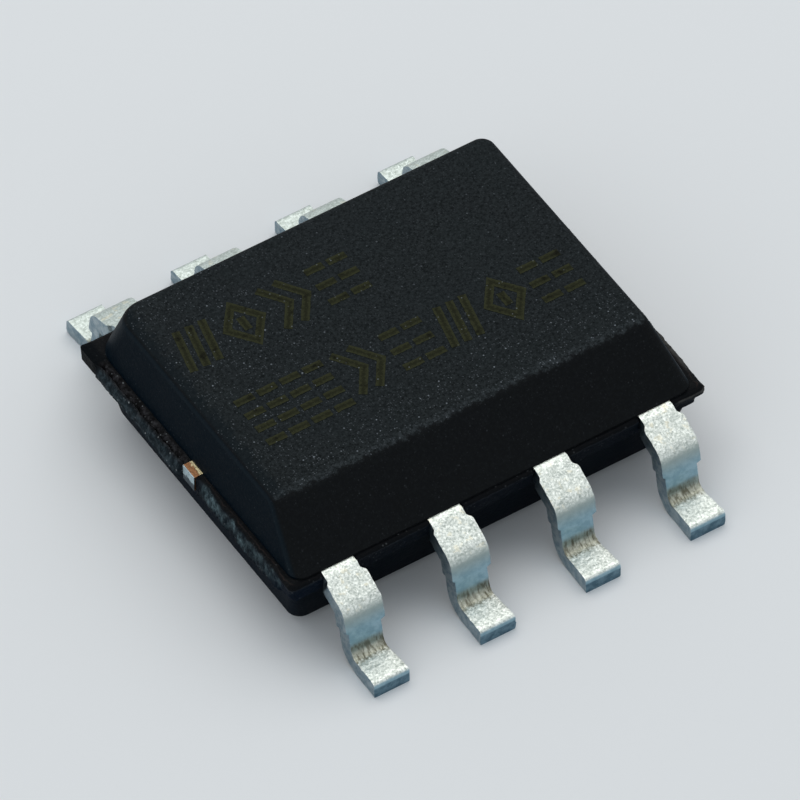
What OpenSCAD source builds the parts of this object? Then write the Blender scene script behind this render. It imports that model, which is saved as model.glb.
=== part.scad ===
// Eight-lead small-outline chip package: a moulded body cast round a leadframe,
// a silicon die on its pad and the bond wires that join the die to the leads.
// The feet stand on z = 0, +X runs along the lead rows and -Y is the bevelled side of lead 1.

/* [Body] */
// Length of the moulded body at its seam, along X
body_l = 4.8; // [4.6:0.02:4.88]
// Width of the moulded body at its seam, along Y
body_w = 3.84; // [3.76:0.02:3.9]
// Height of the top face above the board
top_z = 1.56; // [1.5:0.01:1.75]
// Gap between the board and the underside of the body
standoff = 0.12; // [0.05:0.01:0.25]
// How far each end wall leans in between the seam and the top face
end_lean = 0.13; // [0.05:0.01:0.16]
// How far the back wall leans in between the seam and the top face
back_lean = 0.17; // [0.05:0.01:0.2]
// How far the bevel along the lead 1 side cuts into the top face
bevel = 0.61; // [0.4:0.01:0.7]
// How far each end wall leans in between the seam and the underside
under_end_lean = 0.11; // [0.03:0.01:0.14]
// How far each long wall leans in between the seam and the underside
under_side_lean = 0.2; // [0.05:0.01:0.24]
// Plan radius of the body's upright corners
corner_r = 0.15; // [0.1:0.01:0.3]
// Radius of the edges round the top face
edge_r = 0.07; // [0.02:0.005:0.08]

/* [Seam flash] */
// Length of the flash left round the seam, along X
flash_l = 5.02; // [4.9:0.02:5.1]
// Width of the flash left round the seam, along Y
flash_w = 3.98; // [3.92:0.01:4]
// Plan radius of the flash's corners
flash_r = 0.07; // [0.02:0.01:0.15]

/* [Leads] */
// Distance between neighbouring leads
pitch = 1.27; // [1.24:0.01:1.3]
// Distance over both rows of toes
span = 5.84; // [5.8:0.01:6.2]
// Thickness of the leadframe sheet
sheet = 0.2; // [0.17:0.01:0.23]
// Height of the leadframe's upper side where the leads leave the body
frame_z = 0.975; // [0.94:0.005:1.02]
// Width of a lead at the body and at its foot
lead_w = 0.39; // [0.33:0.01:0.45]
// Extra width of the cut dam bar stub on the side of the next lead
stub_next = 0.05; // [0.01:0.01:0.08]
// Extra width of the cut dam bar stub on the other side
stub_last = 0.025; // [0.005:0.005:0.05]
// Length of a lead before its dam bar stub starts
stub_start = 0.15; // [0.05:0.01:0.2]
// Slope of the shoulder below level
shoulder_a = 27; // [20:1:32]
// Slope of the riser below level
riser_a = 79.5; // [76:0.5:84]
// Length of a foot from its toe to the corner of the riser
foot_l = 0.43; // [0.4:0.01:0.5]
// Radius of the hollow of the heel
heel_r = 0.1; // [0.06:0.01:0.12]
// Radius on the hollow side of the two bends that turn down
bend_r = 0.02; // [0.01:0.01:0.05]

/* [Lead fingers] */
// Gap between a finger's tip and the middle of the package
finger_y = 1.22; // [1.15:0.01:1.3]
// Width of a finger's bond area
tip_w = 0.7; // [0.6:0.02:0.74]
// Length of a finger's bond area
tip_l = 0.36; // [0.28:0.02:0.4]
// How far the bond area of an end lead is set towards the middle
tip_shift = 0.17; // [0:0.01:0.2]

/* [Die pad] */
// Length of the die pad, along X
pad_l = 2.8; // [2:0.1:3]
// Width of the die pad, along Y
pad_w = 1.9; // [1.5:0.1:2]
// How far the pad is set down below the leads
pad_drop = 0.2; // [0.1:0.01:0.25]
// Width of the tie bar at each end of the pad
tie_w = 0.21; // [0.16:0.01:0.26]
// Offset of the tie bars from the middle of the package
tie_y = -0.07; // [-0.1:0.01:0.1]

/* [Die and wires] */
// Length of the die, along X
die_l = 1.5; // [1.2:0.1:1.8]
// Width of the die, along Y
die_w = 1.2; // [1:0.1:1.4]
// Thickness of the die
die_t = 0.25; // [0.15:0.01:0.3]
// Thickness of the adhesive under the die
attach_t = 0.02; // [0.02:0.005:0.03]
// Diameter of a bond wire
wire_d = 0.038; // [0.036:0.001:0.05]
// Diameter of the ball that bonds a wire to the die
ball_d = 0.09; // [0.08:0.005:0.1]
// Radius of the top of a wire's loop
loop_r = 0.09; // [0.08:0.005:0.12]

/* [Hidden] */
$fn = 48;

per_side = 4;
thin = 0.001;
// how far the halves of the body reach into the sheet-thick layer between them
overlap = 0.05;
// how far the gaps in the flash reach in behind the wall, where the leads fill them
behind = 0.01;
frame_bottom = frame_z - sheet;
wall_y = body_w / 2;
toe_y = span / 2;

// lengths of the shoulder and the riser that bring the foot down to the board
down_r = bend_r + sheet;
bends_r = down_r + heel_r;
fall = frame_z - sheet - bends_r * (1 - cos(riser_a));
reach = toe_y - foot_l + heel_r * tan(riser_a / 2) - wall_y - bends_r * sin(riser_a);
turn = sin(riser_a - shoulder_a);
shoulder_l = (reach * sin(riser_a) - fall * cos(riser_a)) / turn;
riser_l = (fall * cos(shoulder_a) - reach * sin(shoulder_a)) / turn;
flat_l = foot_l - heel_r * tan(riser_a / 2);
stub_end = riser_l * 0.4;

pad_top = frame_z - pad_drop;
die_bottom = pad_top + attach_t;
die_top = die_bottom + die_t;
tie_rise = pad_drop * 1.6;
tie_foot = 0.12;
ball_h = 0.02;
neck_h = 0.05;
stitch_h = 0.01;
stitch_d = wire_d * 2.4;
// the bent part of a wire is a hair thicker, and the straight parts reach this far into it
bent_d = wire_d * 1.08;
into = 0.005;
die_margin = 0.1;

// X of a lead counted 1 to 4 along one row, in that row's own frame
function row_x(i) = (i - 1 - (per_side - 1) / 2) * pitch;
// How far a lead's bond area is set sideways: only the end leads of a row
function tip_x(i) = i == 1 ? tip_shift : i == per_side ? -tip_shift : 0;
// X of a wire's ball on the die
function ball_x(i) = (i - 1 - (per_side - 1) / 2) * (die_l - 2 * die_margin) / (per_side - 1);

// Rows are numbered round the package, so the back row is the front one turned by half a turn
module in_row(n) {
    rotate([0, 0, n > per_side ? 180 : 0]) children();
}

function in_row_number(n) = n > per_side ? n - per_side : n;

// The four round corners of a level slab, for hull() to join: half length, distances of the
// front and back edges, height of the slab, corner radius and thickness
module level(half_l, front, back, z, r, h = thin) {
    for (x = [-1, 1], y = [-front + r, back - r])
        translate([x * (half_l - r), y, z]) cylinder(r = r, h = h, $fn = 32);
}

module upper_half() {
    half = body_l / 2;
    // height at which the bevel meets the front wall
    bevel_z = frame_z + 0.02;
    // the top edge is rounded by three levels, each a part of a quarter turn
    hull() {
        level(half, wall_y, wall_y, frame_z - overlap, corner_r);
        level(half, wall_y, wall_y, bevel_z, corner_r);
        for (a = [0, 45, 90]) {
            inset = edge_r * (1 - cos(a));
            level(half - end_lean - inset, wall_y - bevel - inset, wall_y - back_lean - inset,
                top_z - edge_r + edge_r * sin(a) - thin, corner_r - inset);
        }
    }
}

module lower_half() {
    half = body_l / 2;
    hull() {
        level(half, wall_y, wall_y, frame_bottom + overlap, corner_r);
        level(half - under_end_lean, wall_y - under_side_lean, wall_y - under_side_lean,
            standoff, corner_r);
    }
}

// The sheet-thick skirt at the seam, open where each lead leaves the wall
module seam_flash() {
    difference() {
        hull() level(flash_l / 2, flash_w / 2, flash_w / 2, frame_bottom, flash_r, sheet);
        for (n = [1 : 2 * per_side]) in_row(n)
            translate([row_x(in_row_number(n)) - lead_w / 2, -wall_y - 1 + behind, frame_bottom - 1])
                cube([lead_w, 1, 3]);
    }
}

// One straight length of sheet: x runs along it, its upper side is at z = 0
module straight(length, left, right) {
    translate([0, -right, -sheet]) cube([length, left + right, sheet]);
    translate([length, 0, 0]) children();
}

// One bend of the sheet: turns down by a for a > 0 and up for a < 0
module bend(a, r, left, right) {
    turns_down = a > 0;
    outer = r + sheet;
    centre = turns_down ? -outer : r;
    translate([0, 0, centre]) {
        translate([0, left, 0]) rotate([90, 0, 0])
            rotate([0, 0, turns_down ? 90 - a : 270])
                linear_extrude(left + right) sector(abs(a), r, outer);
        rotate([0, a, 0]) translate([0, 0, -centre]) children();
    }
}

// Part of a ring in the plane, from angle 0 to a
module sector(a, inner, outer) {
    far = outer * 2;
    intersection() {
        difference() {
            circle(outer);
            circle(inner);
        }
        polygon([[0, 0], [far, 0], [far, far * tan(a / 2)], [far * cos(a), far * sin(a)]]);
    }
}

module lead(n) {
    half = lead_w / 2;
    near = half + stub_next;
    off = half + stub_last;
    i = in_row_number(n);
    before_stub = stub_start - down_r * sin(shoulder_a / 2);
    in_row(n) translate([row_x(i), 0, 0]) {
        // the finger inside the body and its bond area
        translate([0, -finger_y, frame_z]) rotate([0, 0, -90]) {
            straight(wall_y - finger_y, half, half);
            translate([0, tip_x(i), 0]) straight(tip_l, tip_w / 2, tip_w / 2);
        }
        // the gull wing outside: shoulder, riser and foot
        translate([0, -wall_y, frame_z]) rotate([0, 0, -90])
            bend(shoulder_a, bend_r, half, half)
            straight(before_stub, half, half)
            straight(shoulder_l - before_stub, near, off)
            bend(riser_a - shoulder_a, bend_r, near, off)
            straight(stub_end, near, off)
            straight(riser_l - stub_end, half, half)
            bend(-riser_a, heel_r, half, half)
            straight(flat_l, half, half);
    }
}

// The pad and its two tie bars, which step up to the level of the leads and end at the flash
module die_pad() {
    translate([-pad_l / 2, -pad_w / 2, pad_top - sheet]) cube([pad_l, pad_w, sheet]);
    for (x = [0, 1]) mirror([x, 0, 0]) translate([pad_l / 2, tie_y + tie_w / 2, 0])
        rotate([90, 0, 0]) linear_extrude(tie_w) polygon([
            [0, pad_top - sheet],
            [tie_foot, pad_top - sheet],
            [tie_foot + tie_rise, frame_bottom],
            [(flash_l - pad_l) / 2, frame_bottom],
            [(flash_l - pad_l) / 2, frame_z],
            [tie_foot + tie_rise, frame_z],
            [tie_foot, pad_top],
            [0, pad_top],
        ]);
}

module die_attach() {
    translate([-die_l / 2, -die_w / 2, pad_top]) cube([die_l, die_w, attach_t]);
}

module die() {
    translate([-die_l / 2, -die_w / 2, die_bottom]) cube([die_l, die_w, die_t]);
}

// A ball bond on the die, a neck, a round loop and a straight run down to the stitch on the lead
module bond_wire(n) {
    $fn = 24;
    i = in_row_number(n);
    ball = [ball_x(i), -die_w / 2 + die_margin];
    stitch = [row_x(i) + tip_x(i), -finger_y - tip_l / 2];
    d = stitch - ball;
    run = norm(d);
    neck_z = ball_h + neck_h;
    drop = die_top + neck_z - frame_z;
    // slope of the straight run that touches the loop and ends on the lead
    slope = atan2(drop, run - loop_r) + asin(loop_r / norm([run - loop_r, drop]));
    end_x = loop_r * (1 + sin(slope));
    run_l = (run - end_x) / cos(slope);
    in_row(n) translate([ball[0], ball[1], die_top]) rotate([0, 0, atan2(d[1], d[0])]) {
        cylinder(d = ball_d, h = ball_h);
        difference() {
            union() {
                cylinder(d = wire_d, h = neck_z + into);
                translate([loop_r, 0, neck_z]) rotate([90, 0, 0]) rotate([0, 0, 90 - slope])
                    rotate_extrude(angle = 90 + slope) translate([loop_r, 0]) circle(d = bent_d);
                translate([end_x, 0, neck_z + loop_r * cos(slope)]) rotate([0, 90 + slope, 0])
                    translate([0, 0, -into]) cylinder(d = wire_d, h = run_l + wire_d);
            }
            translate([run - 1, -1, frame_z - die_top - 1]) cube([2, 2, 1]);
        }
        translate([run, 0, frame_z - die_top]) cylinder(d = stitch_d, h = stitch_h);
    }
}

// Everything that the body is moulded round
module insides() {
    for (n = [1 : 2 * per_side]) {
        lead(n);
        bond_wire(n);
    }
    die_pad();
    die_attach();
    die();
}

module mould_body() {
    difference() {
        union() {
            upper_half();
            seam_flash();
            lower_half();
        }
        insides();
    }
}

color([0.16, 0.17, 0.18]) mould_body();
color([0.8, 0.81, 0.79]) lead(1);  // lead_1
color([0.8, 0.81, 0.79]) lead(2);  // lead_2
color([0.8, 0.81, 0.79]) lead(3);  // lead_3
color([0.8, 0.81, 0.79]) lead(4);  // lead_4
color([0.8, 0.81, 0.79]) lead(5);  // lead_5
color([0.8, 0.81, 0.79]) lead(6);  // lead_6
color([0.8, 0.81, 0.79]) lead(7);  // lead_7
color([0.8, 0.81, 0.79]) lead(8);  // lead_8
color([0.82, 0.5, 0.3]) die_pad();
color([0.75, 0.76, 0.74]) die_attach();
color([0.35, 0.38, 0.45]) die();
color([0.86, 0.66, 0.3]) bond_wire(1);  // bond_wire_1
color([0.86, 0.66, 0.3]) bond_wire(2);  // bond_wire_2
color([0.86, 0.66, 0.3]) bond_wire(3);  // bond_wire_3
color([0.86, 0.66, 0.3]) bond_wire(4);  // bond_wire_4
color([0.86, 0.66, 0.3]) bond_wire(5);  // bond_wire_5
color([0.86, 0.66, 0.3]) bond_wire(6);  // bond_wire_6
color([0.86, 0.66, 0.3]) bond_wire(7);  // bond_wire_7
color([0.86, 0.66, 0.3]) bond_wire(8);  // bond_wire_8
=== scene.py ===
import math

import bmesh
import bpy
from mathutils import Matrix, Vector, noise


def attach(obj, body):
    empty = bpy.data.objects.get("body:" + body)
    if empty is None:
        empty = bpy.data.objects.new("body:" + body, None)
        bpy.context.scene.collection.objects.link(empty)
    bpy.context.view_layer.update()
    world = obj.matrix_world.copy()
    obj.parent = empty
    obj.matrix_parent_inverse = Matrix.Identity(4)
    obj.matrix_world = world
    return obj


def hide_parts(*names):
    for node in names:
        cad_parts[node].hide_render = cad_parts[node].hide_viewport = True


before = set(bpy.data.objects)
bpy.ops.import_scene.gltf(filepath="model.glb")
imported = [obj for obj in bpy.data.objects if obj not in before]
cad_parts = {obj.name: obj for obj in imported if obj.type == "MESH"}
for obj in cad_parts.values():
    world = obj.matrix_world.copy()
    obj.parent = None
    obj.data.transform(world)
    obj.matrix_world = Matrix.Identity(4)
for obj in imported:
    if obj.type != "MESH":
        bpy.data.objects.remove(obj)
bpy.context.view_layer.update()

scene = bpy.context.scene
mm = 0.001

# The package's own sizes, in millimetres
package = {
    "bodyLength": 4.8,
    "bodyWidth": 3.84,
    "topHeight": 1.56,
    "underside": 0.12,
    "endLean": 0.13,
    "backLean": 0.17,
    "frontBevel": 0.61,
    "underEndLean": 0.11,
    "underSideLean": 0.2,
    "cornerRadius": 0.15,
    "sheetTop": 0.975,
    "sheet": 0.2,
    "pitch": 1.27,
    "span": 5.84,
}
wallY = package["bodyWidth"] / 2
wallX = package["bodyLength"] / 2
sheetTop = package["sheetTop"]
sheetBottom = sheetTop - package["sheet"]

# Places in metres, lens and sensor in millimetres
cameraPlace = {
    "from": (-0.042932, -0.068530, 0.092622),
    "aim": (-0.0001066, -0.0002818, 0.00078),
    "rollDegrees": -0.694,
    "lens": 540,
    "sensor": 36,
    "clip": (0.005, 50),
}


def addCamera(s):
    data = bpy.data.cameras.new("camera")
    data.lens = s["lens"]
    data.sensor_width = s["sensor"]
    data.clip_start, data.clip_end = s["clip"]
    cam = bpy.data.objects.new("camera", data)
    scene.collection.objects.link(cam)
    look = Vector(s["aim"]) - Vector(s["from"])
    turn = look.to_track_quat("-Z", "Y").to_matrix().to_4x4()
    roll = Matrix.Rotation(math.radians(s["rollDegrees"]), 4, "Z")
    cam.matrix_world = Matrix.Translation(Vector(s["from"])) @ turn @ roll
    scene.camera = cam


addCamera(cameraPlace)
print("camera set")


def newMaterial(name):
    mat = bpy.data.materials.new(name)
    mat.use_nodes = True
    tree = mat.node_tree
    shader = tree.nodes["Principled BSDF"]
    coords = tree.nodes.new("ShaderNodeTexCoord")
    # patterns are laid out in millimetres
    scaled = tree.nodes.new("ShaderNodeVectorMath")
    scaled.operation = "SCALE"
    scaled.inputs["Scale"].default_value = 1 / mm
    tree.links.new(coords.outputs["Object"], scaled.inputs[0])
    return mat, tree, shader, scaled.outputs[0]


def feed(tree, value, socket):
    # a value is another node's output, a number or a colour
    if isinstance(value, tuple):
        socket.default_value = (*value, 1)
    elif isinstance(value, (int, float)):
        socket.default_value = value
    else:
        tree.links.new(value, socket)


def finishSkin(tree, shader, colour, rough, bump, metallic=0.0, gloss=0.5):
    feed(tree, colour, shader.inputs["Base Color"])
    feed(tree, rough, shader.inputs["Roughness"])
    feed(tree, bump, shader.inputs["Normal"])
    shader.inputs["Metallic"].default_value = metallic
    shader.inputs["Specular IOR Level"].default_value = gloss


def noiseNode(tree, where, scale, detail, roughness, squeeze=None):
    n = tree.nodes.new("ShaderNodeTexNoise")
    n.inputs["Scale"].default_value = scale
    n.inputs["Detail"].default_value = detail
    n.inputs["Roughness"].default_value = roughness
    if squeeze:
        m = tree.nodes.new("ShaderNodeMapping")
        m.inputs["Scale"].default_value = squeeze
        tree.links.new(where, m.inputs["Vector"])
        where = m.outputs[0]
    tree.links.new(where, n.inputs["Vector"])
    return n.outputs["Fac"]


def rampNode(tree, value, low, high, fromValue=0.0, toValue=1.0, smooth=True):
    # low may be the greater of the two, and the ramp then falls
    n = tree.nodes.new("ShaderNodeMapRange")
    n.interpolation_type = "SMOOTHSTEP" if smooth else "LINEAR"
    n.inputs["From Min"].default_value = low
    n.inputs["From Max"].default_value = high
    n.inputs["To Min"].default_value = fromValue
    n.inputs["To Max"].default_value = toValue
    tree.links.new(value, n.inputs["Value"])
    return n.outputs[0]


def mathNode(tree, kind, *values):
    n = tree.nodes.new("ShaderNodeMath")
    n.operation = kind
    for value, socket in zip(values, n.inputs):
        feed(tree, value, socket)
    return n.outputs[0]


def absolute(tree, value):
    return mathNode(tree, "ABSOLUTE", value)


def product(tree, first, *others):
    for other in others:
        first = mathNode(tree, "MULTIPLY", first, other)
    return first


def mixColour(tree, fac, a, b):
    n = tree.nodes.new("ShaderNodeMix")
    n.data_type = "RGBA"
    tree.links.new(fac, n.inputs["Factor"])
    feed(tree, a, n.inputs[6])
    feed(tree, b, n.inputs[7])
    return n.outputs[2]


def cells(tree, where, scale):
    # distance to the nearest grain and two random numbers of that grain
    v = tree.nodes.new("ShaderNodeTexVoronoi")
    v.inputs["Scale"].default_value = scale
    tree.links.new(where, v.inputs["Vector"])
    split = tree.nodes.new("ShaderNodeSeparateColor")
    tree.links.new(v.outputs["Color"], split.inputs[0])
    return v.outputs["Distance"], split.outputs[0], split.outputs[1]


def specks(tree, where, scale, size, share):
    # small round grains of uneven brightness: one in some cells of the pattern
    distance, pick, shade = cells(tree, where, scale)
    near = rampNode(tree, distance, size, size * 0.5)
    chosen = mathNode(tree, "GREATER_THAN", pick, 1 - share)
    return product(tree, near, chosen, shade)


def bumpNode(tree, height, distance, strength, below=None):
    n = tree.nodes.new("ShaderNodeBump")
    n.inputs["Distance"].default_value = distance * mm
    n.inputs["Strength"].default_value = strength
    tree.links.new(height, n.inputs["Height"])
    if below is not None:
        tree.links.new(below, n.inputs["Normal"])
    return n.outputs[0]


def splitVector(tree, vector):
    n = tree.nodes.new("ShaderNodeSeparateXYZ")
    tree.links.new(vector, n.inputs[0])
    return n.outputs[0], n.outputs[1], n.outputs[2]


def finishPiece(bm, name, mat, nodesReplaced, smoothAngle=35):
    mesh = bpy.data.meshes.new(name)
    bm.to_mesh(mesh)
    bm.free()
    mesh.polygons.foreach_set("use_smooth", [True] * len(mesh.polygons))
    mesh.set_sharp_from_angle(angle=math.radians(smoothAngle))
    mesh.materials.append(mat)
    piece = bpy.data.objects.new(name, mesh)
    scene.collection.objects.link(piece)
    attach(piece, "root")
    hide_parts(*nodesReplaced)


def roundedPlate(bm, halfX, halfY, z, radius, segments, backLeft=None):
    # a level rectangle with round corners, as one face; the back left corner may be rounder
    bmesh.ops.create_grid(bm, x_segments=1, y_segments=1, size=1)
    for v in bm.verts:
        v.co = Vector((v.co.x * halfX * mm, v.co.y * halfY * mm, z * mm))
    for v in bm.verts[:]:
        own = backLeft if backLeft and v.co.x < 0 < v.co.y else radius
        bmesh.ops.bevel(bm, geom=[v], offset=own * mm, segments=segments,
                        profile=0.5, affect="VERTICES", material=-1)
    bm.faces.ensure_lookup_table()
    return bm.faces[0]


def extrudeFace(bm, face, dz, lean=None):
    # raises a level face; lean gives how far the ends, front and back draw in
    out = bmesh.ops.extrude_face_region(bm, geom=[face], use_keep_orig=False)
    top = [g for g in out["geom"] if isinstance(g, bmesh.types.BMFace)][0]
    for v in top.verts:
        v.co.z += dz * mm
        if lean:
            end, front, back = lean
            v.co.x -= math.copysign(end * mm, v.co.x)
            v.co.y += (front if v.co.y < 0 else -back) * mm
    return top


def wobble(p, scale, seed):
    # smooth noise in -1..1; p is in metres and scale in waves per millimetre
    return noise.noise(Vector(p) * (scale / mm) + Vector((seed, seed * 0.7, -seed)))


def ripple(p, waves, seed=0.0):
    # adds up waves, each with its size in millimetres, its scale and its own shift of the seed
    return sum(size * wobble(p, scale, seed + shift) for size, scale, shift in waves)


# Colours are linear, places are in millimetres, and each pair says where something begins and is full
mouldLook = {
    "top": (0.0235, 0.0285, 0.0305),
    "topDark": (0.0035, 0.0048, 0.0052),
    "cloud": (0.02, 0.026, 0.028),
    # bevel and end are the wall colours, painted darker than the top face as painted shade
    "bevel": (0.0061, 0.0069, 0.0076),
    "end": (0.0012, 0.0046, 0.0084),
    "rim": (0.05, 0.06, 0.066),
    "endBand": (0.0055, 0.009, 0.0115),
    "endRound": (0.0075, 0.0125, 0.017),
    "speck": (0.24, 0.27, 0.3),
    "frontLine": -1.3,
    "ragged": 0.035,
    "leftEndShade": (-2.04, -2.2),
    "frontCrowd": (-0.1, -1.3),
    "leftCrowd": (0.6, -2.1),
    # pale grains: scale, size, share of the places taken and brightness
    "filler": ((10, 0.13, 0.1, 1.0), (21, 0.24, 0.16, 0.8), (46, 0.42, 0.32, 0.32)),
    # scales are in grains per millimetre
    "cloudScale": 1.6,
    "tatterScale": 11,
    "pitScale": 24,
    "mottleScale": 27,
    "fineScale": 42,
    "grainScale": 62,
    "topRough": 0.6,
    "sideRough": 0.42,
    "gloss": 0.02,
}
# the lower half's walls are painted darker than the upper walls, as painted shade under the flash
lowerShadeLook = dict(mouldLook, bevel=(0.0011, 0.0031, 0.006), end=(0.0012, 0.0045, 0.0095), gloss=0.007)


def mouldMaterial(name, s):
    mat, tree, shader, where = newMaterial(name)
    geometry = tree.nodes.new("ShaderNodeNewGeometry")
    nx, _, nz = splitVector(tree, geometry.outputs["Normal"])
    x, y, _ = splitVector(tree, where)
    fine = noiseNode(tree, where, s["fineScale"], 4, 0.7)
    mottle = noiseNode(tree, where, s["mottleScale"], 3, 0.75)
    broad = noiseNode(tree, where, s["cloudScale"], 3, 0.5)
    tatter = noiseNode(tree, where, s["tatterScale"], 4, 0.7)
    # the sandy top face ends in a ragged line along the front bevel
    line = s["frontLine"]
    wander = mathNode(tree, "ADD", y, rampNode(tree, tatter, 0.3, 0.7, -s["ragged"], s["ragged"]))
    behindLine = rampNode(tree, wander, line - 0.03, line + 0.03)
    upward = product(tree, rampNode(tree, nz, 0.8, 0.97), behindLine)
    endward = rampNode(tree, absolute(tree, nx), 0.5, 0.85)
    _, grainShade, _ = cells(tree, where, s["grainScale"])
    grain = mathNode(tree, "ADD", rampNode(tree, mottle, 0.33, 0.67, 0, 0.55),
                     product(tree, grainShade, 0.45))
    top = mixColour(tree, grain, s["topDark"], s["top"])
    top = mixColour(tree, rampNode(tree, broad, 0.35, 0.65, 0, 0.12), top, s["cloud"])
    # the top face is painted darker towards its left end, as painted shade where it runs into the rounded
    # edge
    leftEndShade = mathNode(tree, "ADD", x, rampNode(tree, tatter, 0.3, 0.7, -0.06, 0.06))
    top = mixColour(tree, rampNode(tree, leftEndShade, *s["leftEndShade"], 0, 0.7), top, s["endBand"])
    # the walls are painted darker than the top face, as painted shade
    side = mixColour(tree, endward, s["bevel"], s["end"])
    # the rounded top of each end wall is painted lighter where it turns upward, as painted light
    roundedEnd = product(tree, endward, rampNode(tree, nz, 0.25, 0.5))
    side = mixColour(tree, roundedEnd, side, s["endRound"])
    side = mixColour(tree, rampNode(tree, mottle, 0.4, 0.75, 0, 0.14), side, s["top"])
    colour = mixColour(tree, upward, side, top)
    # a broken line along the front edge of the top face is painted pale in places, as a painted highlight
    glintMask = product(tree, behindLine, rampNode(tree, wander, line + 0.11, line + 0.04),
                   rampNode(tree, nz, 0.8, 0.9), rampNode(tree, mottle, 0.4, 0.65, 0.05, 0.5))
    colour = mixColour(tree, glintMask, colour, s["rim"])
    # pale filler grains crowd towards the front edge and the left end of the top face
    nearFront = rampNode(tree, y, *s["frontCrowd"])
    nearLeft = rampNode(tree, x, *s["leftCrowd"])
    crowd = mathNode(tree, "MAXIMUM", nearFront, mathNode(tree, "MULTIPLY", nearLeft, 0.8))
    crowd = product(tree, rampNode(tree, crowd, 0, 1, 0.3, 1.0), rampNode(tree, upward, 0, 1, 0.1, 1))
    big, middle, small = [product(tree, specks(tree, where, scale, size, share), shine)
                          for scale, size, share, shine in s["filler"]]
    dots = mathNode(tree, "MAXIMUM", mathNode(tree, "MAXIMUM", big, middle), small)
    colour = mixColour(tree, product(tree, dots, crowd), colour, s["speck"])
    rough = mathNode(tree, "ADD", rampNode(tree, upward, 0, 1, s["sideRough"], s["topRough"]),
                     rampNode(tree, broad, 0.3, 0.7, -0.05, 0.05))
    bump = bumpNode(tree, noiseNode(tree, where, s["pitScale"], 3, 0.6), 0.006, 0.5)
    bump = bumpNode(tree, fine, 0.004, 0.5, bump)
    finishSkin(tree, shader, colour, rough, bump, gloss=s["gloss"])
    return mat


mouldSkin = mouldMaterial("mouldSkin", mouldLook)
mouldUnderside = mouldMaterial("mouldUnderside", lowerShadeLook)

upperForm = {
    "cornerSteps": 12,
    "backLeftRadius": 0.3,
    "edgeRadius": 0.07,
    "edgeSteps": 6,
    "wall": 0.02,
    "inside": 0.05,
    "rightIn": 0.024,
    "backIn": 0.008,
}


def makeUpperHalf(s):
    bm = bmesh.new()
    plate = roundedPlate(bm, wallX, wallY, sheetTop - s["inside"], package["cornerRadius"],
                         s["cornerSteps"], s["backLeftRadius"])
    wall = extrudeFace(bm, plate, s["inside"] + s["wall"])
    top = extrudeFace(bm, wall, package["topHeight"] - sheetTop - s["wall"],
                      (package["endLean"], package["frontBevel"], package["backLean"]))
    # the right and back walls lean in a little more than the others
    for v in top.verts:
        v.co.x -= s["rightIn"] * mm if v.co.x > 0 else 0.0
        v.co.y -= s["backIn"] * mm if v.co.y > 0 else 0.0
    bmesh.ops.bevel(bm, geom=list(top.edges), offset=s["edgeRadius"] * mm, offset_type="OFFSET",
                    segments=s["edgeSteps"], profile=0.5, affect="EDGES", material=-1)
    bmesh.ops.recalc_face_normals(bm, faces=bm.faces[:])
    finishPiece(bm, "mouldUpper", mouldSkin, ["mould_body"])


makeUpperHalf(upperForm)

lowerForm = {"cornerSteps": 12, "edgeRadius": 0.03, "edgeSteps": 4, "inside": 0.05}


def makeLowerHalf(s):
    bm = bmesh.new()
    plate = roundedPlate(bm, wallX, wallY, sheetBottom + s["inside"], package["cornerRadius"],
                         s["cornerSteps"])
    low = extrudeFace(bm, plate, package["underside"] - sheetBottom - s["inside"],
                      (package["underEndLean"], package["underSideLean"], package["underSideLean"]))
    bmesh.ops.bevel(bm, geom=list(low.edges), offset=s["edgeRadius"] * mm, offset_type="OFFSET",
                    segments=s["edgeSteps"], profile=0.5, affect="EDGES", material=-1)
    bmesh.ops.recalc_face_normals(bm, faces=bm.faces[:])
    finishPiece(bm, "mouldLower", mouldUnderside, ["mould_body"])


makeLowerHalf(lowerForm)
print("moulded halves made")

# The seam flash is swept round the outline: out over the ledge, down the broken edge and back in
flashForm = {
    "length": 5.02,
    "width": 3.98,
    "radius": 0.035,
    "step": 0.018,
    "ledgeCells": 8,
    "faceCells": 8,
    "reachIn": 0.06,
    "innerRadius": 0.12,
    "leadWidth": 0.39,
    "behind": 0.01,
    "tieY": -0.07,
    "tieWidth": 0.21,
    "tieProud": 0.02,
    "crustTo": 1.62,
    "cornerReach": 0.03,
    "roundSteps": 6,
    "undercut": 0.07,
    "cornerWear": 0.03,
    "ledgeWear": 0.018,
    "crustLift": 0.03,
    # how far the broken edge lies in on top, and how much further in it is at the bottom
    "sideIn": (0.012, 0.022),
    "rightIn": (-0.02, 0.02),
    "crustIn": (0.035, -0.075),
    "brokenIn": (0.05, -0.055),
    "cornerIn": (0.03, 0.03),
    # waves: size, scale and shift of the seed
    "ragged": ((0.012, 7, 0), (0.008, 20, 3.1), (0.005, 45, 5.2)),
    "uneven": ((0.006, 16, 9.1), (0.004, 40, 8.1)),
    "unevenLeast": 0.004,
}

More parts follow.
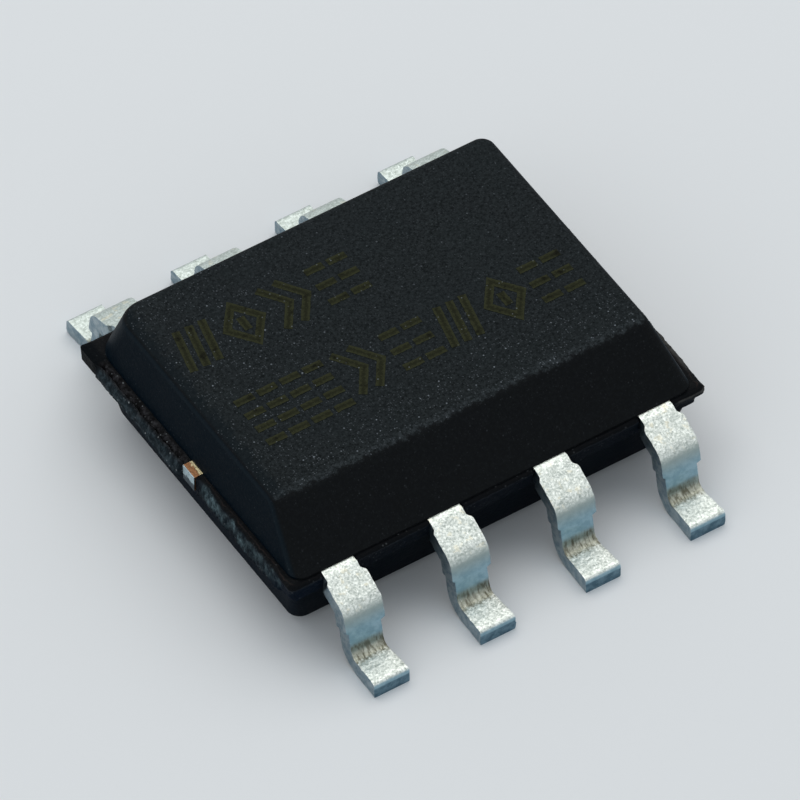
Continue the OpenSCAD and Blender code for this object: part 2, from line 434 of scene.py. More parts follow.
flashLook = {
    "ledge": (0.0042, 0.0048, 0.0054),
    "ledgeLight": (0.0098, 0.0102, 0.011),
    "ledgeFront": (0.0018, 0.0025, 0.0034),
    "lipHighlight": (0.014, 0.0175, 0.022),
    "face": (0.002, 0.0037, 0.0066),
    "faceLight": (0.0045, 0.007, 0.0105),
    "corner": (0.0015, 0.0052, 0.0125),
    "smoothCorner": (0.0014, 0.0024, 0.0034),
    "crust": (0.0045, 0.0044, 0.0047),
    "crustLight": (0.034, 0.034, 0.037),
    "crustLow": (0.008, 0.013, 0.0165),
    "crustLowLight": (0.036, 0.051, 0.06),
    "broken": (0.011, 0.018, 0.023),
    "brokenLight": (0.125, 0.185, 0.205),
    "crease": (0.021, 0.016, 0.015),
    "rightLip": (0.05, 0.05, 0.047),
    "speck": (0.24, 0.26, 0.27),
    "fineScale": 30,
    "lumpScale": 17,
    "tornScale": (20, 14, 7),
    "patchScale": 5,
    "rough": 0.55,
    "gloss": 0.03,
}

# Where each kind of skin begins and is full, along x or y
flashZones = {
    "frontLedge": (-1.88, -1.93),
    "leftEnd": (-2.38, -2.44),
    "rightEnd": (2.42, 2.46),
    "corner": (-3.9, -4.3),  # of x and y added up
    "crustFrom": (0.0, 0.12),
    "breakFrom": (-0.22, -0.4),
    "breakTo": (-1.84, -1.7),
    "palePatches": ((-0.52, 0.24), (-1.03, 0.15)),  # middle and reach, along y shifted by the slant
    "slant": -1.2,
    "slantShift": 1.02,
    "tornFrom": (-1.75, -1.5),
    "cornerLip": (2.12, 2.2),
}


def flashMaterial(f, s, zones):
    mat, tree, shader, where = newMaterial("flashSkin")
    x, y, z = splitVector(tree, where)
    uv = tree.nodes.new("ShaderNodeUVMap")
    uv.uv_map = "profile"
    # profile runs 0..1 out over the ledge to the lip, down the face to the foot and back in below
    _, profile, _ = splitVector(tree, uv.outputs[0])
    lip = f["ledgeCells"] / (2 * f["ledgeCells"] + f["faceCells"])
    foot = 1 - lip
    fine = noiseNode(tree, where, s["fineScale"], 4, 0.7)
    lumps = noiseNode(tree, where, s["lumpScale"], 4, 0.7)
    torn = noiseNode(tree, where, 1, 4, 0.7, s["tornScale"])
    patch = noiseNode(tree, where, s["patchScale"], 3, 0.6)
    grain = rampNode(tree, fine, 0.35, 0.7)
    onLedge = rampNode(tree, profile, lip + 0.03, lip - 0.02)
    face = mixColour(tree, grain, s["face"], s["faceLight"])
    ledge = mixColour(tree, grain, s["ledge"], s["ledgeLight"])
    # a fine crease runs along the ledge
    waver = mathNode(tree, "ADD", profile, rampNode(tree, patch, 0.3, 0.7, -0.04, 0.04))
    crease = absolute(tree, mathNode(tree, "SUBTRACT", waver, lip * 0.72))
    crease = product(tree, rampNode(tree, crease, 0.022, 0.004), rampNode(tree, lumps, 0.35, 0.6))
    ledge = mixColour(tree, crease, ledge, s["crease"])
    inFront = rampNode(tree, y, *zones["frontLedge"])
    ledge = mixColour(tree, product(tree, inFront, 0.85), ledge, s["ledgeFront"])
    # the front left corner shows a smoother, bluer skin, and a pale painted highlight runs along the lip
    nearCorner = rampNode(tree, mathNode(tree, "ADD", x, y), *zones["corner"])
    face = mixColour(tree, product(tree, nearCorner, 0.8), face, s["corner"])
    lipHighlight = product(tree, rampNode(tree, profile, lip + 0.11, lip + 0.04),
                      rampNode(tree, patch, 0.35, 0.6, 0.3, 0.9))
    face = mixColour(tree, lipHighlight, face, s["lipHighlight"])
    colour = mixColour(tree, onLedge, face, ledge)
    # the back half of the left end is a lumpy crust, but its corner is smooth
    leftEnd = rampNode(tree, x, *zones["leftEnd"])
    backPart = product(tree, leftEnd, rampNode(tree, y, *zones["crustFrom"]),
                       rampNode(tree, y, f["crustTo"] + 0.1, f["crustTo"]))
    crusty = product(tree, backPart, rampNode(tree, profile, lip * 0.35, lip * 0.6),
                     rampNode(tree, profile, foot + 0.04, foot - 0.04))
    lumpy = rampNode(tree, lumps, 0.42, 0.68)
    crust = mixColour(tree, rampNode(tree, profile, lip + 0.02, lip + 0.14),
                      mixColour(tree, lumpy, s["crust"], s["crustLight"]),
                      mixColour(tree, lumpy, s["crustLow"], s["crustLowLight"]))
    colour = mixColour(tree, crusty, colour, crust)
    smooth = product(tree, leftEnd, rampNode(tree, y, f["crustTo"], f["crustTo"] + 0.08))
    colour = mixColour(tree, smooth, colour, s["smoothCorner"])
    # the front half broke off in a pale streak
    frontPart = product(tree, leftEnd, rampNode(tree, y, *zones["breakFrom"]),
                        rampNode(tree, y, *zones["breakTo"]))
    wander = mathNode(tree, "ADD", profile, rampNode(tree, patch, 0.3, 0.7, -0.05, 0.05))
    streak = product(tree, rampNode(tree, wander, lip - 0.02, lip + 0.1),
                     rampNode(tree, wander, lip + 0.38, lip + 0.18),
                     rampNode(tree, patch, 0.34, 0.5, 0.4, 1))
    # it is palest in two slanted patches
    slant = mathNode(tree, "ADD", mathNode(tree, "MULTIPLY", z, zones["slant"]),
                     mathNode(tree, "ADD", y, zones["slantShift"]))
    palest = [product(tree, rampNode(tree, slant, centre - reach, centre - 0.05),
                      rampNode(tree, slant, centre + reach, centre + 0.05))
              for centre, reach in zones["palePatches"]]
    palest = mathNode(tree, "MAXIMUM", *palest)
    streak = product(tree, streak, rampNode(tree, palest, 0, 1, 0.42, 1))
    chips = mathNode(tree, "ADD", product(tree, torn, 0.75), product(tree, fine, 0.25))
    broken = mixColour(tree, rampNode(tree, chips, 0.39, 0.66), s["broken"], s["brokenLight"])
    colour = mixColour(tree, product(tree, frontPart, streak), colour, broken)
    # the right end has a pale torn lip, which goes on round the front right corner
    rightLip = product(tree, rampNode(tree, x, *zones["rightEnd"]), rampNode(tree, y, *zones["tornFrom"]),
                       rampNode(tree, profile, lip - 0.12, lip - 0.05),
                       rampNode(tree, profile, lip + 0.2, lip + 0.05),
                       rampNode(tree, lumps, 0.35, 0.6, 0.35, 1))
    cornerLip = product(tree, rampNode(tree, x, *zones["cornerLip"]), inFront,
                        rampNode(tree, profile, lip - 0.03, lip),
                        rampNode(tree, profile, lip + 0.12, lip + 0.06),
                        rampNode(tree, lumps, 0.35, 0.6, 0.4, 1))
    colour = mixColour(tree, mathNode(tree, "MAXIMUM", rightLip, cornerLip), colour, s["rightLip"])
    dots = product(tree, specks(tree, where, 24, 0.3, 0.34), rampNode(tree, backPart, 0, 1, 0.15, 1))
    colour = mixColour(tree, dots, colour, s["speck"])
    bump = bumpNode(tree, lumps, 0.02, 0.6)
    bump = bumpNode(tree, fine, 0.012, 0.6, bump)
    finishSkin(tree, shader, colour, s["rough"], bump, gloss=s["gloss"])
    return mat


def leadCentres():
    return [(i - 1.5) * package["pitch"] for i in range(4)]


def outlinePoint(halfX, halfY, r, side, part, corner):
    # a point on a rectangle with round corners: part goes 0..1 along a side or round the corner after it
    cx, cy = halfX - r, halfY - r
    corners = [(cx, -cy), (cx, cy), (-cx, cy), (-cx, -cy)]
    turn = side * math.pi / 2
    first, last = corners[side], corners[(side + 1) % 4]
    if corner:
        a = turn + part * math.pi / 2
        return Vector((last[0] + r * math.cos(a), last[1] + r * math.sin(a), 0))
    out = Vector((math.cos(turn), math.sin(turn), 0)) * r
    return Vector((first[0], first[1], 0)).lerp(Vector((last[0], last[1], 0)), part) + out


def smoothStep(low, high, value):
    t = min(1.0, max(0.0, (value - low) / (high - low)))
    return t * t * (3 - 2 * t)


def onLongSide(x, y):
    return abs(x) - wallX <= abs(y) - wallY


def flashCut(s, x, y, depth, p):
    # how far the broken edge lies inside the outline at a depth from 0 on top to 1 below
    rough = ripple(p, s["ragged"])
    lowerPart = smoothStep(0.4, 0.6, depth)
    if onLongSide(x, y):
        onTop, more = s["sideIn"]
        cut = onTop + 0.012 * max(0.0, wobble(p, 4, 2.2)) + more * depth + rough * 0.7
        if y < 0:
            # the front right corner is worn round and broken out below
            cut += s["cornerWear"] * smoothStep(2.42, 2.5, x) ** 2
            cut += s["undercut"] * lowerPart * smoothStep(2.14, 2.24, x)
        return cut
    if x > 0:
        onTop, more = s["rightIn"]
        cut = 0.012 * max(0.0, wobble(p, 2.5, 6.4)) + onTop + 0.022 * smoothStep(-1.45, -1.65, y)
        cut += more * depth + rough * 1.2 + 0.025 * smoothStep(-1.91, -1.99, y) ** 2
        cut += s["undercut"] * lowerPart * smoothStep(-1.8, -1.9, y)
    elif y > s["tieY"]:
        # the crust bulges outward as it goes down, and the back corner is smooth
        onTop, more = s["crustIn"]
        crust = onTop + more * math.sin(math.pi / 2 * min(1.0, depth * 1.25)) + rough * 1.5
        cut = crust + (0.01 * depth - crust) * smoothStep(s["crustTo"], s["crustTo"] + 0.1, y)
    else:
        onTop, more = s["brokenIn"]
        broken = onTop + more * depth ** 0.7 + rough * 1.7
        onTop, more = s["cornerIn"]
        corner = onTop + more * depth + rough
        cut = broken + (corner - broken) * smoothStep(-1.7, -1.85, y)
    # the tie bars end a little proud of the flash
    tie = 1 - smoothStep(s["tieWidth"] / 2 + 0.01, s["tieWidth"] / 2 + 0.06, abs(y - s["tieY"]))
    return cut + (s["tieProud"] - cut) * tie


def flashStations(s):
    # stops round the outline, as side, part and whether it is in the corner after that side
    stations = []
    for side in range(4):
        straight = (s["width"] if side % 2 == 0 else s["length"]) - 2 * s["radius"]
        count = int(straight / s["step"])
        stations += [(side, i / count, False) for i in range(count)]
        stations += [(side, i / s["roundSteps"], True) for i in range(s["roundSteps"])]
    return stations


def flashHeight(s, place, out, depth, y, leftEnd):
    height = sheetTop - depth * package["sheet"]
    uneven = sum((size * abs(wobble(place * mm, scale, shift)) for size, scale, shift in s["uneven"]),
                 s["unevenLeast"])
    if depth == 1.0:
        return height + uneven
    if depth == 0.0:
        # the edge of the ledge is worn round, and the crust is lumpy on top
        height -= uneven + s["ledgeWear"] * smoothStep(0.75, 1.0, out)
        if leftEnd:
            crust = smoothStep(0.04, 0.14, y) * (1 - smoothStep(s["crustTo"], s["crustTo"] + 0.1, y))
            lump = s["crustLift"] * max(-0.3, wobble(place * mm, 13, 7.7)) - 0.025 * out
            height += crust * lump * out
    return height


def makeFlash(s):
    halfX, halfY = s["length"] / 2, s["width"] / 2
    inX, inY = wallX - s["reachIn"], wallY - s["reachIn"]
    stations = flashStations(s)
    across = 2 * s["ledgeCells"] + s["faceCells"]
    centres = leadCentres()
    bm = bmesh.new()
    bm.loops.layers.uv.new("profile")
    bmesh.ops.create_grid(bm, x_segments=len(stations), y_segments=across, size=1, calc_uvs=True)
    for v in bm.verts:
        i = round((v.co.x + 1) / 2 * len(stations)) % len(stations)
        j = round((v.co.y + 1) / 2 * across)
        outer = outlinePoint(halfX, halfY, s["radius"], *stations[i])
        inner = outlinePoint(inX, inY, s["innerRadius"], *stations[i])
        if j <= s["ledgeCells"]:
            out, depth = j / s["ledgeCells"], 0.0
        elif j <= s["ledgeCells"] + s["faceCells"]:
            out, depth = 1.0, (j - s["ledgeCells"]) / s["faceCells"]
        else:
            out, depth = (across - j) / s["ledgeCells"], 1.0
        x, y = outer.x, outer.y
        p = Vector((x, y, depth * package["sheet"])) * mm
        edge = outer + (inner - outer).normalized() * flashCut(s, x, y, depth, p)
        leftEnd = x < 0 and not onLongSide(x, y)
        if leftEnd:
            edge.x -= s["cornerReach"] * smoothStep(s["crustTo"], s["crustTo"] + 0.12, y)
        place = inner.lerp(edge, out)
        # the flash stops at the wall where a lead comes out
        side = math.copysign(1, y)
        fromLead = min(abs(x - side * c) for c in centres)
        if onLongSide(x, y) and fromLead < s["leadWidth"] / 2 + 0.003:
            place.y = side * min(abs(place.y), wallY - s["behind"])
        place.z = flashHeight(s, place, out, depth, y, leftEnd)
        v.co = place * mm
    bmesh.ops.remove_doubles(bm, verts=bm.verts[:], dist=1e-7)
    rims = [e for e in bm.edges if e.is_boundary]
    bmesh.ops.bridge_loops(bm, edges=rims)
    bmesh.ops.recalc_face_normals(bm, faces=bm.faces[:])
    skin = flashMaterial(s, flashLook, flashZones)
    finishPiece(bm, "seamFlash", skin, ["mould_body"], 50)


makeFlash(flashForm)
print("seam flash made")

# Plain etched figures: each is a list of strokes, measured in cells
figures = {
    "diamonds": [[(0.6, 0), (1.2, 0.8), (0.6, 1.6), (0, 0.8), (0.6, 0)], [(0.6, 0.65), (0.6, 0.95)]],
    "hatch": [[(0, 0.1), (0.3, 1.5)], [(0.45, 0.1), (0.75, 1.5)], [(0.9, 0.1), (1.2, 1.5)]],
    "chevrons": [[(0, 0), (0.55, 0.8), (0, 1.6)], [(0.6, 0), (1.15, 0.8), (0.6, 1.6)]],
    "dashes": [[(x, y), (x + 0.4, y)] for y in (0.1, 0.8, 1.5) for x in (0, 0.8)],
    "grid": [[(x, y), (x + 0.4, y)] for y in (0, 0.6, 1.2, 1.8) for x in (0, 0.8, 1.6, 2.4)],
}
marksForm = {
    "cell": 0.34,
    "stroke": 0.085,
    "along": 0.02,
    "cellsAcross": 6,
    "lift": 0.002,
    "liftStep": 0.0001,
    "ragged": ((0.009, 22, 0), (0.007, 60, 2.0)),
    # each row: the start along x and y, the pitch and the figures
    "rows": (
        (-2.0, 0.6, 0.56, ("hatch", "diamonds", "chevrons", "dashes")),
        (-0.72, -0.56, 0.56, ("chevrons", "dashes", "hatch", "diamonds", "dashes")),
        (-1.86, -0.62, 1.0, ("grid",)),
    ),
}
marksLook = {
    "core": (0.0135, 0.0145, 0.0085),
    "rim": (0.034, 0.0365, 0.0185),
    "dark": (0.0045, 0.0045, 0.004),
    "fineScale": 34,
    "patchScale": 9,
    "rough": 0.7,
}


def marksMaterial(s):
    mat, tree, shader, where = newMaterial("etchedMark")
    uv = tree.nodes.new("ShaderNodeUVMap")
    uv.uv_map = "stroke"
    _, across, _ = splitVector(tree, uv.outputs[0])
    fine = noiseNode(tree, where, s["fineScale"], 4, 0.7)
    patch = noiseNode(tree, where, s["patchScale"], 3, 0.6)
    # each stroke is lighter along its sides
    fromMiddle = absolute(tree, mathNode(tree, "SUBTRACT", across, 0.5))
    fromMiddle = mathNode(tree, "ADD", fromMiddle, rampNode(tree, fine, 0.3, 0.7, -0.2, 0.2))
    rim = rampNode(tree, fromMiddle, 0.05, 0.4, 0.2, 0.9)
    colour = mixColour(tree, rim, s["core"], s["rim"])
    colour = mixColour(tree, rampNode(tree, patch, 0.56, 0.72, 0, 0.7), colour, s["dark"])
    dots = product(tree, specks(tree, where, 26, 0.28, 0.25), 0.4)
    colour = mixColour(tree, dots, colour, mouldLook["speck"])
    bump = bumpNode(tree, fine, 0.012, 0.7)
    finishSkin(tree, shader, colour, s["rough"], bump, gloss=mouldLook["gloss"])
    return mat


def strokeSections(points, s):
    # places along the stroke, each with the direction across it, mitred at the corners
    closed = points[0] == points[-1]
    corners = [Vector((x, y, 0)) for x, y in points]
    headings = [(b - a).normalized() for a, b in zip(corners, corners[1:])]
    half = s["stroke"] / 2
    if not closed:
        corners[0] -= headings[0] * half
        corners[-1] += headings[-1] * half
    normals = [Vector((-h.y, h.x, 0)) for h in headings]
    mitres, margins = [], []
    for i in range(len(corners)):
        if not closed and i in (0, len(corners) - 1):
            mitres.append(normals[min(i, len(normals) - 1)])
            margins.append(0.0)
            continue
        before, after = normals[i - 1 if i else -1], normals[i % len(normals)]
        mitres.append((before + after) / (1 + before.dot(after)))
        margins.append(half * (mitres[-1] - after).length + 0.002)
    sections = []
    for i, normal in enumerate(normals):
        first = corners[i] + headings[i] * margins[i]
        last = corners[i + 1] - headings[i] * margins[i + 1]
        count = max(1, int((last - first).length / s["along"]))
        start = 1 if margins[i] == 0 else 0
        sections.append((corners[i], mitres[i]))
        sections += [(first.lerp(last, k / count), normal) for k in range(start, count + 1)]
    if margins[-1] > 0:
        sections.append((corners[-1], mitres[-1]))
    return sections


def addStroke(bm, points, s, lift):
    # a ribbon along the points with ragged sides
    sections = strokeSections(points, s)
    last = len(sections) - 1
    made = bmesh.ops.create_grid(bm, x_segments=last, y_segments=s["cellsAcross"], size=1, calc_uvs=True)
    for v in made["verts"]:
        point, across = sections[round((v.co.x + 1) / 2 * last)]
        side = v.co.y
        place = point + across * side * s["stroke"] / 2
        ragged = ripple(place * mm, s["ragged"])
        place += across * math.copysign(ragged, side) * abs(side) ** 3
        v.co = Vector((place.x, place.y, package["topHeight"] + lift)) * mm


def makeMarks(s):
    bm = bmesh.new()
    bm.loops.layers.uv.new("stroke")
    lift = s["lift"]
    for startX, startY, pitch, names in s["rows"]:
        for k, name in enumerate(names):
            for stroke in figures[name]:
                points = [(startX + k * pitch + x * s["cell"], startY + y * s["cell"]) for x, y in stroke]
                addStroke(bm, points, s, lift)
                lift += s["liftStep"]  # no two strokes share a level
    bmesh.ops.remove_doubles(bm, verts=bm.verts[:], dist=1e-8)
    bmesh.ops.recalc_face_normals(bm, faces=bm.faces[:])
    for f in bm.faces:
        if f.normal.z < 0:
            f.normal_flip()
    finishPiece(bm, "topMarks", marksMaterial(marksLook), ["mould_body"], 0)


makeMarks(marksForm)
print("marks etched")

leadForm = {
    "width": 0.39,
    "stubNext": 0.05,
    "stubLast": 0.025,
    "stubStart": 0.15,
    "shoulderAngle": 27,
    "riserAngle": 79.5,
    "footLength": 0.43,
    "heelRadius": 0.1,
    "bendRadius": 0.02,
    "tipWidth": 0.7,
    "tipLength": 0.36,
    "tipShift": 0.17,
    "fingerY": 1.22,
    "edgeRound": 0.014,
    "footFlare": 0.022,
    "toeRound": 0.05,
    "halfSpan": package["span"] / 2,
    "stepAlong": 0.02,
    "cutsAcross": 17,
    "cutsDeep": 6,
    # waves: on the sheared sides, more of them on the stub, and up and down above the underside
    "tear": ((0.006, 10, 0), (0.004, 30, 1)),
    "stubTear": ((0.006, 16, 2),),
    "unevenFace": ((0.0016, 14, 3), (0.001, 40, 4)),
}


def leadPath(s):
    # lengths along the upper side: shoulder bend, shoulder, second bend, riser, heel, foot
    sheet = package["sheet"]
    a, b = math.radians(s["shoulderAngle"]), math.radians(s["riserAngle"])
    down = s["bendRadius"] + sheet
    both = down + s["heelRadius"]
    fall = sheetTop - sheet - both * (1 - math.cos(b))
    reach = s["halfSpan"] - s["footLength"] + s["heelRadius"] * math.tan(b / 2) - wallY - both * math.sin(b)
    turn = math.sin(b - a)
    shoulder = (reach * math.sin(b) - fall * math.cos(b)) / turn
    riser = (fall * math.cos(a) - reach * math.sin(a)) / turn
    foot = s["footLength"] - s["heelRadius"] * math.tan(b / 2)
    return [("bend", a, down), ("line", shoulder, 0), ("bend", b - a, down), ("line", riser, 0),
            ("bend", -b, s["heelRadius"]), ("line", foot, 0)]


def segmentLength(seg):
    return abs(seg[1]) * seg[2] if seg[0] == "bend" else seg[1]


def alongLead(path, distance, h):
    # place at a distance along the upper side and depth h below it, as (outward, height)
    u, z, angle = 0.0, 0.0, 0.0
    for i, seg in enumerate(path):
        length = segmentLength(seg)
        last = i == len(path) - 1
        part = distance if last else min(distance, length)
        if seg[0] == "line":
            u += part * math.cos(angle)
            z -= part * math.sin(angle)
        else:
            turned = part / seg[2] * math.copysign(1, seg[1])
            r = seg[2]
            if seg[1] > 0:
                u += r * (math.sin(angle + turned) - math.sin(angle))
                z += r * (math.cos(angle + turned) - math.cos(angle))
            else:
                u += r * (math.sin(angle) - math.sin(angle + turned))
                z += r * (math.cos(angle) - math.cos(angle + turned))
            angle += turned
        distance -= part
        if distance <= 0:
            break
    return u - h * math.sin(angle), z - h * math.cos(angle)


def leadSides(s, path, along):
    # half widths towards the next lead and away from it
    near = far = s["width"] / 2
    ends = [0.0]
    for seg in path:
        ends.append(ends[-1] + segmentLength(seg))
    stubEnd = ends[3] + (ends[4] - ends[3]) * 0.4
    start = s["stubStart"]
    # the stub swells out of the shoulder and ends in a step
    if along < stubEnd:
        near += s["stubNext"] * smoothStep(start - 0.015, start + 0.045, along)
        far += s["stubLast"] * smoothStep(start - 0.005, start + 0.02, along)
    # the foot spreads a little where it was pressed flat
    flare = s["footFlare"] * smoothStep(ends[5] - 0.05, ends[6], along)
    return near + flare, far + flare * 0.3


def subdivideAlong(bm, axis, least, cuts):
    # cuts up the edges that run along the axis and are longer than least
    chosen = []
    for e in bm.edges:
        d = e.verts[1].co - e.verts[0].co
        if abs(d[axis]) > least and abs(d[axis]) > 0.99 * d.length:
            chosen.append(e)
    bmesh.ops.subdivide_edges(bm, edges=chosen, cuts=cuts, use_grid_fill=True)


def roundPull(ex, ey, r):
    # how far a point outside a round corner moves in; ex and ey are its offsets from the centre, in radii
    d = math.hypot(ex, ey)
    if ex <= 0 or ey <= 0 or d <= 1:
        return 0.0, 0.0
    pull = (1 - 1 / d) * r
    return pull * ex, pull * ey


def makeLead(number, s, mat):
    path = leadPath(s)
    total = sum(segmentLength(seg) for seg in path)
    inner = wallY - s["fingerY"]
    tipEnd = s["tipLength"] - inner
    sheet = package["sheet"]
    # a straight bar first: x runs along the lead, y is -1..1 across it and z is 0 on the upper face
    bm = bmesh.new()
    bmesh.ops.create_cube(bm, size=1)
    for v in bm.verts:
        v.co = Vector(((v.co.x + 0.5) * (total + inner) - inner, v.co.y * 2, (v.co.z - 0.5) * sheet))
    subdivideAlong(bm, 0, 0.5, int((total + inner) / s["stepAlong"]))
    subdivideAlong(bm, 1, 1.0, s["cutsAcross"])
    subdivideAlong(bm, 2, 0.1, s["cutsDeep"])
    row = (number - 1) % 4
    side = 1 if number <= 4 else -1
    centreX = leadCentres()[row]
    shift = {0: s["tipShift"], 3: -s["tipShift"]}.get(row, 0.0)  # the end fingers turn to the middle
    seed = number * 3.37
    for v in bm.verts:
        along, across, h = v.co.x, v.co.y, -v.co.z
        if along < tipEnd:
            near = far = s["tipWidth"] / 2
        else:
            near, far = leadSides(s, path, along)
        halfWidth = near if across > 0 else far
        w = across * halfWidth
        q = Vector((along, across * 0.2, h)) * mm
        outside = along > 0.02
        if along < tipEnd:
            w += shift
        elif along > tipEnd:
            # the long edges are rounded
            r = s["edgeRound"]
            inward, inH = roundPull(1 - halfWidth * (1 - abs(across)) / r, 1 - min(h, sheet - h) / r, r)
            w -= math.copysign(inward, across)
            h += math.copysign(inH, sheet / 2 - h)
        # the plating rounds the upper edge of the toe
        t = s["toeRound"]
        inAlong, inH = roundPull((along - total + t) / t, (t - h) / t, t)
        along -= inAlong
        h += inH
        if outside:
            # sheared sides are torn a little, most at the stub of the dam bar
            tear = ripple(q, s["tear"], seed)
            if near > s["width"] / 2 + 0.02:
                tear += ripple(q, s["stubTear"], seed)
            w += math.copysign(tear, across) * abs(across) ** 6
            h += ripple(q, s["unevenFace"], seed) if h < sheet * 0.9 else 0.0
        u, z = alongLead(path, along, h) if along >= 0 else (along, -h)
        # nothing goes below the floor
        v.co = Vector(((centreX + w) * side, -(wallY + u) * side, max(0.0, sheetTop + z))) * mm
    bmesh.ops.recalc_face_normals(bm, faces=bm.faces[:])
    finishPiece(bm, f"leadTin{number}", mat, [f"lead_{number}"], 40)


tinLook = {
    "bright": (0.86, 0.88, 0.82),
    "dim": (0.29, 0.325, 0.29),
    # riser, riserLight and bend: painted shade and painted reflection on the steep faces
    "riser": (0.21, 0.34, 0.41),
    "riserLight": (0.28, 0.42, 0.49),
    "bend": (0.32, 0.36, 0.33),
    "side": (0.17, 0.25, 0.3),
    "sideLight": (0.33, 0.4, 0.43),
    "toe": (0.07, 0.14, 0.19),
    "toeLight": (0.15, 0.25, 0.31),
    "heel": (0.27, 0.26, 0.175),
    "score": (0.07, 0.063, 0.038),
    "warm": (0.74, 0.66, 0.46),
    # heights, and how far out the heel reaches, in millimetres
    "bendUp": (0.48, 0.72),
    "toeTop": (0.14, 0.12),
    "heelTop": (0.38, 0.3),
    "heelOut": (2.62, 2.55),
    "wornUp": (0.6, 0.8),
    "grainScale": 38,
    "coarseScale": 12,
    "flakeScale": 58,
    "streakScale": (34, 9, 9),
    "broadStreakScale": (13, 5, 5),
}


def tinMaterial(name, s):
    mat, tree, shader, where = newMaterial(name)
    geometry = tree.nodes.new("ShaderNodeNewGeometry")
    nx, ny, nz = splitVector(tree, geometry.outputs["Normal"])
    _, y, z = splitVector(tree, where)
    grain = noiseNode(tree, where, s["grainScale"], 3, 0.65)
    coarse = noiseNode(tree, where, s["coarseScale"], 3, 0.6)
    blotch = rampNode(tree, coarse, 0.35, 0.65)
    _, flake, flakeTwo = cells(tree, where, s["flakeScale"])
    level = rampNode(tree, absolute(tree, nz), 0.2, 0.75)
    matte = mathNode(tree, "ADD", rampNode(tree, grain, 0.3, 0.72, 0, 0.5), product(tree, flake, 0.5))
    bright = mixColour(tree, matte, s["dim"], s["bright"])
    # steep faces get the darker, bluer riser colours, greyer near the bend: painted shade and painted
    # reflection of the blue surroundings
    steepShadeAndReflection = mixColour(tree, blotch, s["riser"], s["riserLight"])
    steepShadeAndReflection = mixColour(tree, rampNode(tree, z, *s["bendUp"], 0, 0.8), steepShadeAndReflection, s["bend"])
    colour = mixColour(tree, level, steepShadeAndReflection, bright)
    # the sheared sides are painted darker and bluer than the plated faces, as painted shade and painted
    # reflection
    sideShadeMask = rampNode(tree, absolute(tree, nx), 0.6, 0.85)
    side = mixColour(tree, blotch, s["side"], s["sideLight"])
    colour = mixColour(tree, sideShadeMask, colour, side)
    # the cut toe is painted darker and bluer than the plated faces, as painted reflection of the blue
    # surroundings
    toeReflection = product(tree, rampNode(tree, absolute(tree, ny), 0.7, 0.9), rampNode(tree, z, *s["toeTop"]))
    toe = mixColour(tree, blotch, s["toe"], s["toeLight"])
    colour = mixColour(tree, toeReflection, colour, toe)
    # the heel is scored by the forming tool
    out = mathNode(tree, "ADD", absolute(tree, y), rampNode(tree, grain, 0.3, 0.7, -0.02, 0.02))
    heel = product(tree, rampNode(tree, out, *s["heelOut"]), rampNode(tree, z, *s["heelTop"]),
                   rampNode(tree, nz, 0.05, 0.2))
    colour = mixColour(tree, product(tree, heel, 0.6), colour, s["heel"])
    streak = noiseNode(tree, where, 1, 3, 0.6, s["streakScale"])
    broadStreak = noiseNode(tree, where, 1, 2, 0.5, s["broadStreakScale"])
    score = mathNode(tree, "ADD", rampNode(tree, streak, 0.42, 0.64, 0, 0.6),
                     rampNode(tree, broadStreak, 0.35, 0.65, 0, 0.3))
    colour = mixColour(tree, product(tree, heel, score), colour, s["score"])
    # warm glints where the plating is worn beside the body and along the stub
    glintMask = product(tree, rampNode(tree, coarse, 0.56, 0.66), rampNode(tree, z, *s["wornUp"]), level)
    colour = mixColour(tree, product(tree, glintMask, 0.35), colour, s["warm"])
    rough = rampNode(tree, level, 0, 1, 0.42, 0.5)
    rough = mathNode(tree, "SUBTRACT", rough, product(tree, flakeTwo, 0.14))
    bump = bumpNode(tree, coarse, 0.012, 0.35)
    bump = bumpNode(tree, grain, 0.006, 0.7, bump)
    finishSkin(tree, shader, colour, rough, bump, metallic=1.0)
    return mat


# The back row was formed a little flatter and stands a little further out; its tin is painted darker, as
# painted shade
backRow = dict(leadForm, shoulderAngle=17, halfSpan=leadForm["halfSpan"] + 0.04)
tinPlate = tinMaterial("tinPlate", tinLook)
shadedBackTin = tinMaterial("shadedBackTin", dict(tinLook, bright=(0.62, 0.67, 0.63)))
for number in range(1, 9):
    makeLead(number, *((leadForm, tinPlate) if number <= 4 else (backRow, shadedBackTin)))
print("leads made")

copperLook = {
    "dark": (0.12, 0.055, 0.028),
    "light": (0.42, 0.21, 0.1),
    "cutDark": (0.2, 0.3, 0.36),
    "cutLight": (0.62, 0.74, 0.76),
    "cutShadow": (0.03, 0.05, 0.065),
    "smear": (0.7, 0.6, 0.36),
    "cutOut": (2.5, 2.508),
    "cutShadowTop": (0.875, 0.85),
    "smearOut": (2.447, 2.425),
    "grainScale": 24,
    "rough": 0.4,
}


def copperMaterial(s):
    mat, tree, shader, where = newMaterial("copperSheet")
    x, _, z = splitVector(tree, where)
    grain = noiseNode(tree, where, s["grainScale"], 3, 0.6)
    copper = mixColour(tree, grain, s["dark"], s["light"])
    cut = mixColour(tree, grain, s["cutDark"], s["cutLight"])
    # the lower part of the cut face is painted dark, as a painted shadow
    cutShadow = mathNode(tree, "ADD", z, rampNode(tree, grain, 0.3, 0.7, -0.02, 0.02))
    cut = mixColour(tree, rampNode(tree, cutShadow, *s["cutShadowTop"]), cut, s["cutShadow"])
    # a smear of plating lies beside the body
    smear = mathNode(tree, "ADD", absolute(tree, x), rampNode(tree, grain, 0.3, 0.7, -0.015, 0.015))
    copper = mixColour(tree, rampNode(tree, smear, *s["smearOut"]), copper, s["smear"])
    colour = mixColour(tree, rampNode(tree, absolute(tree, x), *s["cutOut"]), copper, cut)
    finishSkin(tree, shader, colour, s["rough"], bumpNode(tree, grain, 0.008, 0.5), metallic=1.0)
    return mat


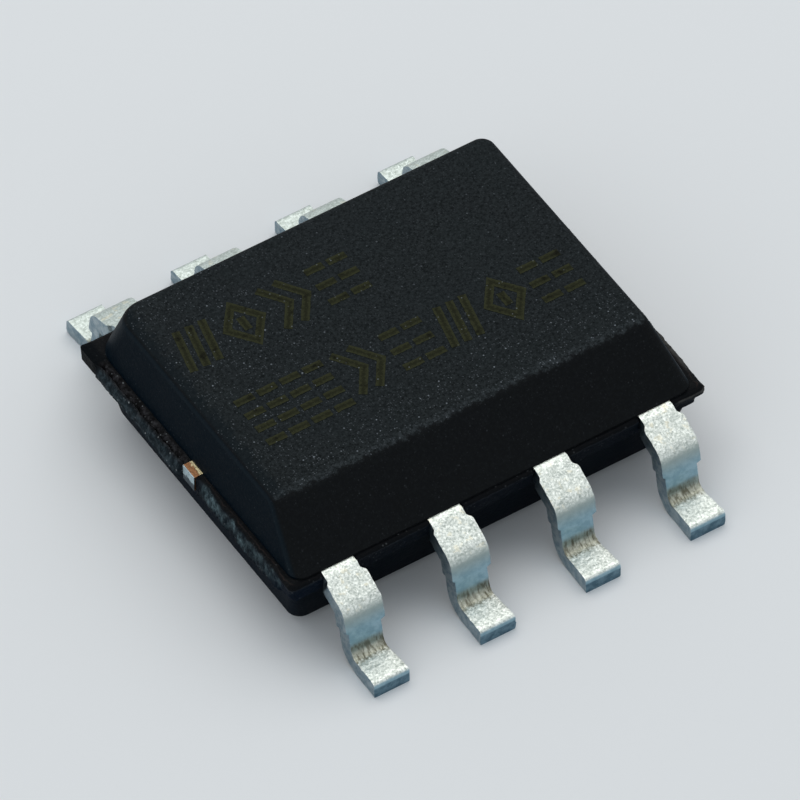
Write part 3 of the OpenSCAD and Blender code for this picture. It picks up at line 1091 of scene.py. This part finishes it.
silverEpoxy = {
    "dark": (0.35, 0.35, 0.33),
    "light": (0.62, 0.62, 0.58),
    "metallic": 0.3,
    "rough": 0.6,
    "grainScale": 30,
}
silicon = {
    "dark": (0.1, 0.12, 0.16),
    "light": (0.2, 0.22, 0.28),
    "metallic": 0.4,
    "rough": 0.2,
    "grainScale": 8,
}
gold = {
    "dark": (0.7, 0.45, 0.15),
    "light": (0.95, 0.7, 0.3),
    "metallic": 1.0,
    "rough": 0.3,
    "grainScale": 40,
}


def grainyMaterial(name, s):
    mat, tree, shader, where = newMaterial(name)
    grain = noiseNode(tree, where, s["grainScale"], 3, 0.6)
    colour = mixColour(tree, grain, s["dark"], s["light"])
    finishSkin(tree, shader, colour, s["rough"], bumpNode(tree, grain, 0.005, 0.5), s["metallic"])
    return mat


def dress(node, mat):
    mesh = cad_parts[node].data
    mesh.materials.clear()
    mesh.materials.append(mat)


dress("die_pad", copperMaterial(copperLook))
dress("die_attach", grainyMaterial("silverEpoxy", silverEpoxy))
dress("die", grainyMaterial("silicon", silicon))
goldWire = grainyMaterial("goldWire", gold)
for number in range(1, 9):
    dress(f"bond_wire_{number}", goldWire)
print("inner pieces dressed")

# Places and sizes of the stage are in metres
stageLook = {
    "floorSize": 0.6,
    "floor": (0.8, 0.82, 0.83),
    "floorRough": 0.9,
    "floorGloss": 0.1,
    "sky": (0.9, 0.95, 1.0),
    "worldLight": 0.55,
}
keyLamp = {"place": (0.015, 0.035, 0.1), "size": (0.15, 0.11), "power": 0.06, "colour": (1.0, 0.98, 0.95)}
fillLamp = {"place": (-0.07, -0.03, 0.06), "size": (0.05, 0.05), "power": 0.004, "colour": (0.9, 0.95, 1.0)}


def makeFloor(s):
    bm = bmesh.new()
    bmesh.ops.create_circle(bm, cap_ends=True, segments=64, radius=s["floorSize"])
    mesh = bpy.data.meshes.new("floor")
    bm.to_mesh(mesh)
    bm.free()
    mat = bpy.data.materials.new("paleFloor")
    mat.use_nodes = True
    shader = mat.node_tree.nodes["Principled BSDF"]
    shader.inputs["Base Color"].default_value = (*s["floor"], 1)
    shader.inputs["Roughness"].default_value = s["floorRough"]
    shader.inputs["Specular IOR Level"].default_value = s["floorGloss"]
    mesh.materials.append(mat)
    floor = bpy.data.objects.new("floor", mesh)
    scene.collection.objects.link(floor)


def makeWorld(s):
    world = bpy.data.worlds.new("world")
    scene.world = world
    world.use_nodes = True
    tree = world.node_tree
    back = tree.nodes["Background"]
    path = tree.nodes.new("ShaderNodeLightPath")
    # the sky lights the scene with less than it shows to the camera and in reflections
    mirrored = mathNode(tree, "MAXIMUM", path.outputs["Is Glossy Ray"], path.outputs["Is Transmission Ray"])
    seen = mathNode(tree, "MAXIMUM", path.outputs["Is Camera Ray"], mirrored)
    feed(tree, rampNode(tree, seen, 0, 1, s["worldLight"], 1.0, False), back.inputs["Strength"])
    feed(tree, s["sky"], back.inputs["Color"])


def addLamp(name, s):
    data = bpy.data.lights.new(name, "AREA")
    data.shape = "RECTANGLE"
    data.size, data.size_y = s["size"]
    data.energy = s["power"]
    data.color = s["colour"]
    lamp = bpy.data.objects.new(name, data)
    scene.collection.objects.link(lamp)
    place = Vector(s["place"])
    lamp.matrix_world = Matrix.Translation(place) @ (-place).to_track_quat("-Z", "Y").to_matrix().to_4x4()


makeFloor(stageLook)
makeWorld(stageLook)
addLamp("key", keyLamp)
addLamp("fill", fillLamp)
scene.view_settings.view_transform = "Standard"
print("stage set")
